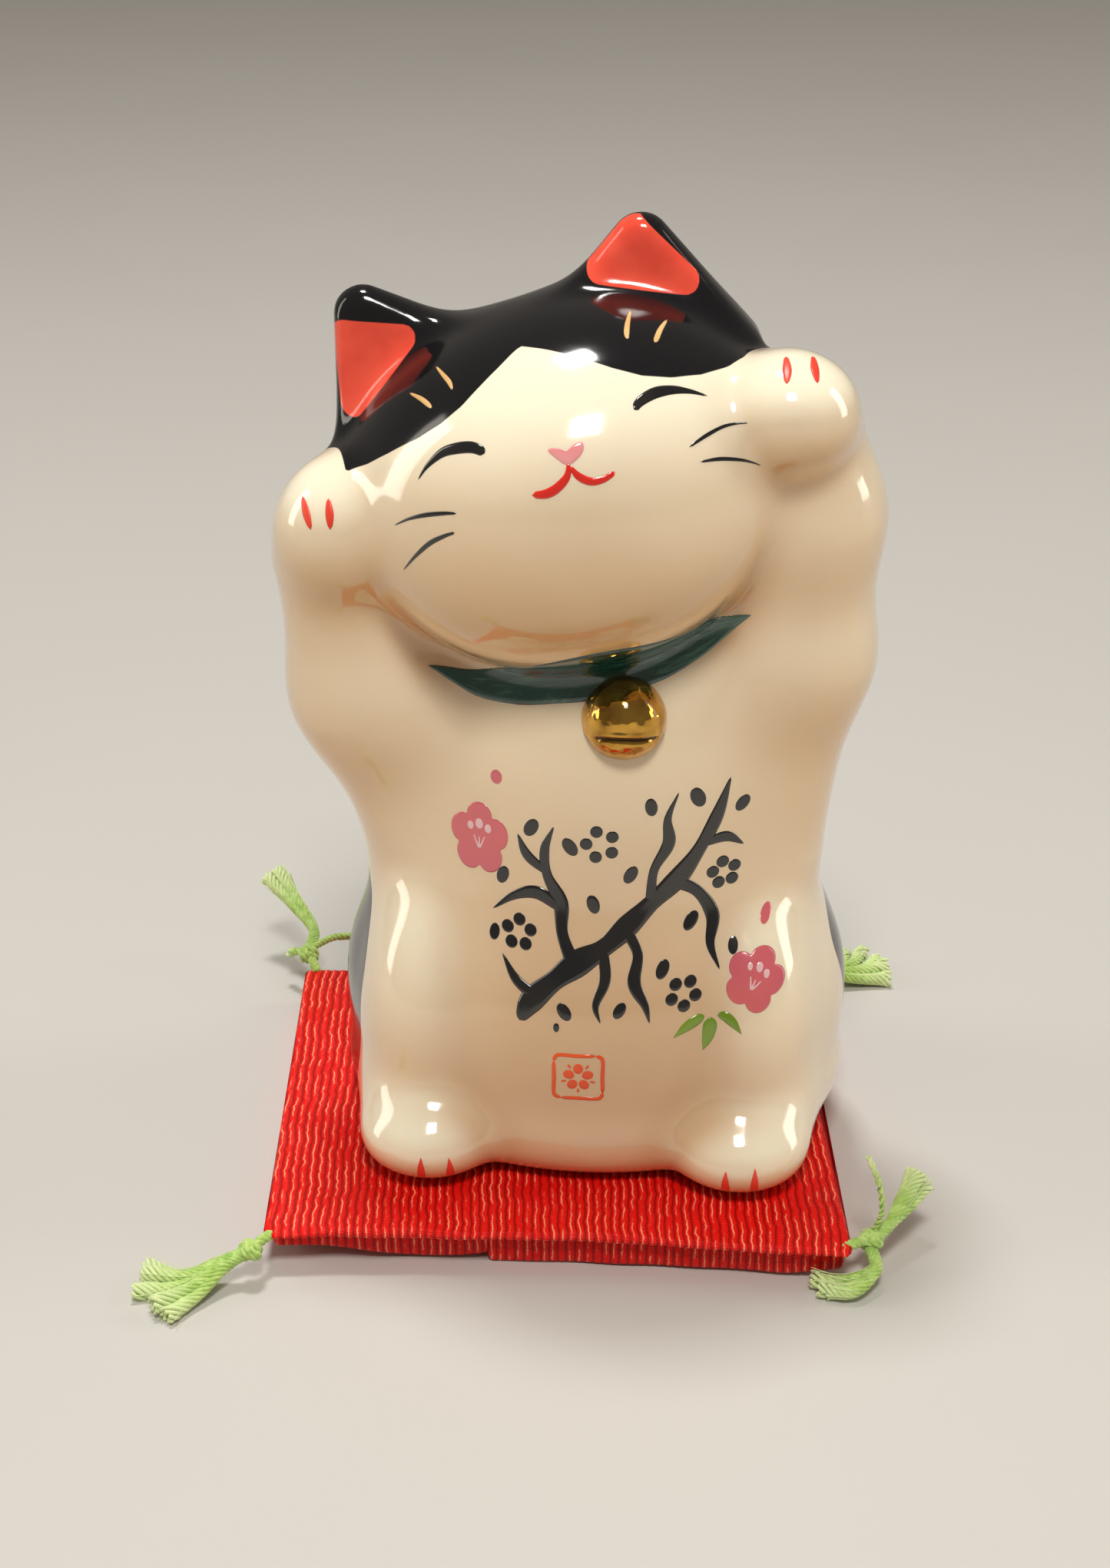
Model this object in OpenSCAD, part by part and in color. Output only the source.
// Beckoning cat figurine on a small ribbon cushion with four corner tassels.
// Units are millimetres. Origin: centre of the cushion's underside, resting on the table at z = 0.
// +X is to the right for a viewer who faces the cat, +Y is its back, +Z is up. The cat faces -Y.

/* [Node to draw] */
// Which piece to draw, or "all"

/* [Cat placement] */
// Cat's offset from the cushion's centre, across
cat_x = 3.4; // [-6:0.1:6]
// Cat's offset from the cushion's centre, towards the back
cat_y = 1.5; // [-6:0.1:6]
// Cat turned about the vertical, degrees
cat_turn = -4.7; // [-45:0.1:45]

/* [Cat body] */
// Width across the haunches
hip_w = 42.8; // [36:0.1:46]
// Depth of the haunches
hip_d = 35; // [30:0.1:40]
// Width of the chest
chest_w = 31.2; // [26:0.1:36]
// Depth of the chest
chest_d = 27.2; // [22:0.1:32]
// Ceramic wall thickness
wall = 3; // [2:0.1:4]
// Thickness of the floor of the casting
floor_t = 3; // [2:0.1:5]
// Diameter of the firing vent in the base
vent_d = 5; // [3:0.1:8]

// Radius of the tail that lies in relief on the back
tail_r = 2.7; // [2:0.1:3.6]

/* [Cat head] */
// Head width
head_w = 34; // [30:0.1:40]
// Head depth
head_d = 30.6; // [26:0.1:36]
// Head height
head_h = 24.2; // [20:0.1:30]
// Height of the head's centre above the cat's base
head_z = 58.3; // [54:0.1:62]
// Head tilt, degrees
head_tilt = 16.5; // [0:0.1:25]
// Head turn, degrees
head_turn = 3; // [-15:0.1:15]
// Ear thickness at its root
ear_t = 6; // [4:0.1:8]
// Rounding radius of the ear's outline
ear_round = 2.3; // [1:0.1:4]

/* [Arms and paws] */
// Height of the lower raised paw
paw_low_z = 53; // [48:0.1:58]
// Height of the higher raised paw
paw_high_z = 63.4; // [58:0.1:66]
// Radius of the upper arms
arm_r = 6.5; // [5:0.1:8]

/* [Bell] */
// Bell diameter
bell_d = 6.6; // [5:0.1:9]
// How far the bell stands out of the chest
bell_out = 2.7; // [1.5:0.1:4]
// Height of the bell's centre above the cat's base
bell_z = 39.8; // [36:0.1:44]

/* [Cushion] */
// Width of the cushion
cushion_w = 46.6; // [40:0.1:60]
// Depth of the cushion at its top
cushion_d = 47; // [40:0.1:60]
// How much further back the front left corner lies than the front right one
front_skew = 2.9; // [0:0.1:5]
// Thickness of the cushion
cushion_t = 4; // [3:0.1:8]
// Thickness of the ribbon
ribbon_t = 0.6; // [0.3:0.05:1]
// How far the lower ply is set back from the rolled front edge
setback = 1.4; // [0:0.1:4]
// Where the ribbon's ends overlap on the underside, across
overlap_x = -5.5; // [-15:0.1:15]
// Step of the overlap on the underside
overlap_step = 0.4; // [0:0.05:1]

/* [Tassels] */
// Knot diameter
knot_d = 2.6; // [2:0.1:4]
// Yarn diameter
yarn_d = 1.3; // [0.8:0.05:2]

/* [Facets] */
// Points round the cat's surface
around = 60; // [24:4:96]
// Rings from the base to the head's centre
body_rings = 30; // [12:1:60]
// Rings over the head
head_rings = 16; // [8:1:40]

/* [Hidden] */
eps = 0.02;                          // air gap between the cat's base and the cushion
cat_base_z = cushion_t + eps;
head_c = [-2.9, -3, head_z];
glaze_white = [0.93, 0.90, 0.84];
lustre_gold = [0.83, 0.62, 0.22];
ribbon_red = [0.78, 0.10, 0.06];
wadding = [0.90, 0.88, 0.82];
yarn_green = [0.62, 0.80, 0.50];

// ---- smooth shapes as distances: negative inside, zero on the surface ----

// Union of two distances with a soft fillet of width k
function soft(a, b, k) = let (h = max(1 - abs(a - b) / (1.5 * k), 0)) min(a, b) - h * h * h * k / 4;
// Intersection with a rounded edge
function cutsoft(a, b, k) = -soft(-a, -b, k);
// Ellipsoid at c with half sizes r
function egg(p, c, r) =
    let (u = [(p.x - c.x) / r.x, (p.y - c.y) / r.y, (p.z - c.z) / r.z],
         v = [u.x / r.x, u.y / r.y, u.z / r.z], k = norm(u))
    k * (k - 1) / (norm(v) + 1e-9);
// Tapered limb from a to b
function limb(p, a, b, ra, rb) =
    let (d = b - a, t = min(max((p - a) * d / (d * d), 0), 1))
    norm(p - a - t * d) - (ra + (rb - ra) * t);
// Into the tilted and turned head's own axes
function to_head(p) =
    let (q = p - head_c,
         x = q.x * cos(head_turn) + q.y * sin(head_turn),
         y = -q.x * sin(head_turn) + q.y * cos(head_turn))
    [x * cos(head_tilt) + q.z * sin(head_tilt), y, -x * sin(head_tilt) + q.z * cos(head_tilt)];
// Distance to a triangle's edge in the plane, negative inside
function seg(p, a, b) = let (d = b - a, t = min(max((p - a) * d / (d * d), 0), 1)) norm(p - a - t * d);
function side(p, a, b) = (b.x - a.x) * (p.y - a.y) - (b.y - a.y) * (p.x - a.x);
function tri(p, a, b, c) =
    let (e = min(seg(p, a, b), seg(p, b, c), seg(p, c, a)),
         s1 = side(p, a, b), s2 = side(p, b, c), s3 = side(p, c, a),
         in = (s1 >= 0 && s2 >= 0 && s3 >= 0) || (s1 <= 0 && s2 <= 0 && s3 <= 0))
    in ? -e : e;
function ear(q, a, b, c) =
    cutsoft(tri([q.x, q.z], a, b, c) - ear_round,
            abs(q.y - 2) - ear_t / 2 * min(max(1 - (q.z - 6) / 20, 0.5), 1), 1.8);
// Torso, arms and skull, without the parts that are cast solid
function core(p) =
    let (hips = egg(p, [0, 1, 11], [hip_w / 2, hip_d / 2, 17]),
         base = egg(p, [0, 0.4, 3.6], [hip_w / 2 - 0.3, hip_d / 2 - 0.9, 8.6]),
         chest = egg(p, [0.2, 1, 31], [chest_w / 2, chest_d / 2, 22]),
         torso = soft(soft(hips, base, 3), chest, 7),
         low1 = limb(p, [-12.8, -1, 25.5], [-17.5, -2.4, 38.5], arm_r - 0.9, arm_r),
         low2 = limb(p, [-17.5, -2.4, 38.5], [-19, -4.6, paw_low_z - 2.7], arm_r, arm_r - 0.3),
         high1 = limb(p, [12.6, -1, 26.5], [15.4, -1.8, 42.3], arm_r - 0.9, arm_r - 0.4),
         high2 = limb(p, [15.4, -1.8, 42.3], [15.5, -2.8, 54], arm_r - 0.4, arm_r - 0.3),
         high3 = limb(p, [15.4, -2.8, 54], [14.7, -4, paw_high_z - 2.7], arm_r - 0.3, arm_r - 1),
         arms = soft(soft(soft(soft(soft(torso, low1, 6), low2, 4), high1, 6), high2, 4), high3, 4),
         q = to_head(p),
         skull = soft(egg(q, [0, 0, 0], [head_w / 2, head_d / 2, head_h / 2]),
                      egg(q, [0.7, -2.8, -3.9], [15.6, 12.8, 12]), 4))
    [arms, skull, q];
// The whole figure
function figure(p) =
    let (c = core(p), q = c[2],
         feet = [for (s = [-1, 1]) egg(p, [s * 12.7, -13.2, 3.1], [5.6, 5.3, 3.8])],
         thighs = [for (s = [-1, 1]) soft(egg(p, [s * 13.2, -5.2, 11.5], [5.9, 9.6, 12]),
                                          egg(p, [s * 12.9, -8, 3.6], [6.1, 8, 5.6]), 3)],
         body = soft(soft(soft(soft(c[0], thighs[0], 1.9), feet[0], 2), thighs[1], 1.9), feet[1], 2),
         tail = soft(limb(p, [-3, 15.4, 5], [6, 16.7, 6.6], tail_r, tail_r),
                     limb(p, [6, 16.7, 6.6], [10, 13.6, 14.5], tail_r, tail_r - 0.8), 2),
         head = soft(soft(c[1], ear(q, [-14.1, 4.4], [-11.4, 14.1], [-4.4, 8.6]), 2.2),
                     ear(q, [14.8, 4], [10.4, 13.5], [3.8, 8.9]), 2.2),
         both = soft(soft(body, tail, 1.2), head, 1.7),
         paws = soft(soft(both, egg(p, [-18.8, -7.8, paw_low_z + 0.7], [5.4, 5.2, 5.5]), 2.6),
                     egg(p, [14.6, -8, paw_high_z], [5.2, 5.2, 4.6]), 2.6))
    cutsoft(paws, -p.z, 2);
// The hollow inside
function hollow(p) = let (c = core(p)) soft(c[0], c[1], 3.2) + wall;

// Distance along direction d from o to the surface, by halving
function reach(o, d, lo, hi, n, inner) =
    let (m = (lo + hi) / 2, v = inner ? hollow(o + m * d) : figure(o + m * d))
    n == 0 ? m : v < 0 ? reach(o, d, m, hi, n - 1, inner) : reach(o, d, lo, m, n - 1, inner);
// Heart line of the figure from the base up to the head's centre
function heart(z) = let (t = min(max((z - 20) / (head_z - 20), 0), 1), s = t * t * (3 - 2 * t))
    [head_c.x * s, -1.5 * s, z];
function ring_point(o, a, el, inner) =
    let (d = [cos(el) * cos(a), cos(el) * sin(a), sin(el)]) o + reach(o, d, 0, 42, 13, inner) * d;
function ring(o, el, inner) = [for (j = [0:around - 1]) ring_point(o, 360 * j / around, el, inner)];
// Points where the flat of the base meets its rounded edge
function base_edge(j) = let (a = 360 * j / around, d = [cos(a), sin(a), 0],
    r = reach([0, 0, 0.03], d, 0, 42, 13, false)) [r * d.x, r * d.y, 0];

// Joins a list of rings of equal length between two end points
module skin(top, rings, bottom) {
    n = len(rings[0]);
    m = len(rings);
    pts = concat([top], [for (r = rings) for (p = r) p], [bottom]);
    last = len(pts) - 1;
    polyhedron(pts, concat(
        [for (j = [0:n - 1]) [0, 1 + j, 1 + (j + 1) % n]],
        [for (i = [0:m - 2]) for (j = [0:n - 1]) let (a = 1 + i * n + j, b = 1 + i * n + (j + 1) % n)
            each [[a, a + n, b], [b, a + n, b + n]]],
        [for (j = [0:n - 1]) [last, 1 + (m - 1) * n + (j + 1) % n, 1 + (m - 1) * n + j]]), convexity = 8);
}

module on_cushion() {
    translate([cat_x, cat_y, cat_base_z]) rotate([0, 0, cat_turn]) children();
}

// Slip-cast body: outer skin, rounded foot, vent and inner skin in one closed surface
module cat_figure() {
    vent = [for (j = [0:around - 1]) let (a = 360 * j / around) [vent_d / 2 * cos(a), vent_d / 2 * sin(a)]];
    head_o = heart(head_z);
    inner_o = heart(head_z - 4);
    outer = concat(
        [for (i = [head_rings - 1:-1:1]) ring(head_o, 90 * i / head_rings, false)],
        [for (i = [body_rings:-1:0]) ring(heart(0.25 + (head_z - 0.25) * i / body_rings), 0, false)]);
    inner = concat(
        [for (i = [0:7]) ring(heart(floor_t + (head_z - 4 - floor_t) * i / 8), 0, true)],
        [for (i = [0:6]) ring(inner_o, 90 * i / 7, true)]);
    color(glaze_white) on_cushion() skin(
        ring_point(head_o, 0, 90, false),
        concat(outer,
            [[for (j = [0:around - 1]) base_edge(j)]],
            [[for (v = vent) [v.x, v.y, 0]]],
            [[for (v = vent) [v.x, v.y, floor_t]]],
            inner),
        ring_point(inner_o, 0, 90, true));
}

// Half-round bell relief on the chest, with its slot
module bell() {
    r = bell_d / 2;
    color(lustre_gold) on_cushion() translate([2.9, -11.3, bell_z]) rotate([-14, 0, 8])
        difference() {
            translate([0, r - bell_out, 0]) sphere(r = r, $fn = 36);
            translate([-r, 0.9, -r]) cube([2 * r, 2 * r, 2 * r]);
            translate([0, r - bell_out, -0.42 * r]) cube([1.4 * r, 2 * r + 1, 0.45], center = true);
        }
}

// Cushion solid: rolled top ply over a lower ply that is set back at the front
module pad(inset) {
    x = cushion_w / 2 - inset;
    y = cushion_d / 2 - inset;
    roll = 1.3;
    hull() {
        for (c = [[-x + roll, -y + roll + front_skew], [x - roll, -y + roll],
                  [x - roll, y - roll], [-x + roll, y - roll]])
            translate([c.x, c.y, cushion_t - roll - inset]) sphere(r = roll, $fn = 20);
        translate([0, 0, inset]) linear_extrude(0.6)
            polygon([[-x + 0.8, -y + setback + front_skew], [x - 0.8, -y + setback],
                     [x - 0.8, y - 1], [-x + 0.8, y - 1]]);
    }
}

// Ribbon wound round the filling, its ends lapped on the underside, open between the plies in front
module cushion_cover() {
    color(ribbon_red) difference() {
        pad(0);
        pad(ribbon_t);
        translate([-cushion_w * 0.36, -cushion_d / 2 - 2, 1.15]) cube([cushion_w * 0.72, 6, 0.35]);
        translate([-cushion_w, -cushion_d, -1]) cube([cushion_w + overlap_x, 2 * cushion_d, 1 + overlap_step]);
    }
}

module cushion_filling() {
    color(wadding) difference() {
        pad(ribbon_t);
        translate([-cushion_w * 0.36, -cushion_d / 2 - 2, 1.15]) cube([cushion_w * 0.72, 2 + 2.8, 0.35]);
    }
}

// One yarn tail: bends from the knot k through m to its end e
function bend(k, m, e, t) = (1 - t) * (1 - t) * k + 2 * t * (1 - t) * m + t * t * e;
module tail(k, m, e, d = yarn_d) {
    for (i = [0:3]) hull() {
        translate(bend(k, m, e, i / 4)) sphere(d = d, $fn = 9);
        translate(bend(k, m, e, (i + 1) / 4)) sphere(d = d, $fn = 9);
    }
}
// Knot at k with tails listed as [bend point, end, yarn diameter]
module tassel(k, tails) {
    color(yarn_green) union() {
        translate(k) sphere(d = knot_d, $fn = 20);
        for (t = tails) tail(k, t[0], t[1], t[2]);
    }
}
// The knots hang just clear of the cushion, near its corners
front_left_knot = [-cushion_w / 2 - 0.9, front_skew - 1.4 - cushion_d / 2, 3];
front_right_knot = [cushion_w / 2 + 2, 2.8 - cushion_d / 2, 3.1];
back_left_knot = [-cushion_w / 2 - 0.4, cushion_d / 2 + 1.4, 4.2];
back_right_knot = [cushion_w / 2 + 1.4, cushion_d / 2 + 0.9, 2.6];

module tassel_front_left() {
    k = front_left_knot;
    tassel(k, [for (a = [0:4]) let (t = 168 + 12.5 * a, l = 9 - 0.25 * abs(a - 1))
        [k + [0.55 * l * cos(t + 8), 0.55 * l * sin(t + 8), -1.3],
         [k.x + l * cos(t), k.y + l * sin(t), 0.75], yarn_d]]);
}
module tassel_front_right() {
    k = front_right_knot;
    tassel(k, [
        [k + [2.2, 1.6, 0.9], k + [4.0, 5.6, 2.6], yarn_d],
        [k + [2.9, 1.4, 0.3], k + [5.0, 4.8, 1.9], yarn_d],
        [k + [0.3, -4.5, -1.9], [k.x - 4.7, k.y - 2.9, 0.72], yarn_d],
        [k + [0.6, -5.4, -2.0], [k.x - 4.2, k.y - 4.1, 0.72], yarn_d],
        [k + [1.2, -0.6, 4.2], k + [-0.3, 2.6, 6.4], 0.8]]);
}
module tassel_back_left() {
    k = back_left_knot;
    tassel(k, [
        [k + [-0.6, 4.6, 0.6], k + [-4.8, 8.2, 4.3], yarn_d],
        [k + [0.2, 4.8, 1.2], k + [-3.6, 8.8, 4.9], yarn_d],
        [k + [0.9, 4.2, 0.2], k + [-2.6, 8.6, 3.7], yarn_d],
        [k + [-1.2, 1.0, 0.2], k + [-2.2, 1.9, -1.0], 1.0],
        [k + [3.6, 1.0, 1.4], k + [8.2, 1.4, 0.9], 0.8]]);
}
module tassel_back_right() {
    k = back_right_knot;
    tassel(k, [for (a = [0:4]) let (t = 12 + 13 * a, l = 9 - 0.3 * abs(a - 2))
        [k + [0.55 * l * cos(t - 8), 0.55 * l * sin(t - 8), -1.3],
         [k.x + l * cos(t), k.y + l * sin(t), 0.75], yarn_d]]);
}

cat_figure();
bell();
cushion_cover();
cushion_filling();
tassel_front_left();
tassel_front_right();
tassel_back_left();
tassel_back_right();
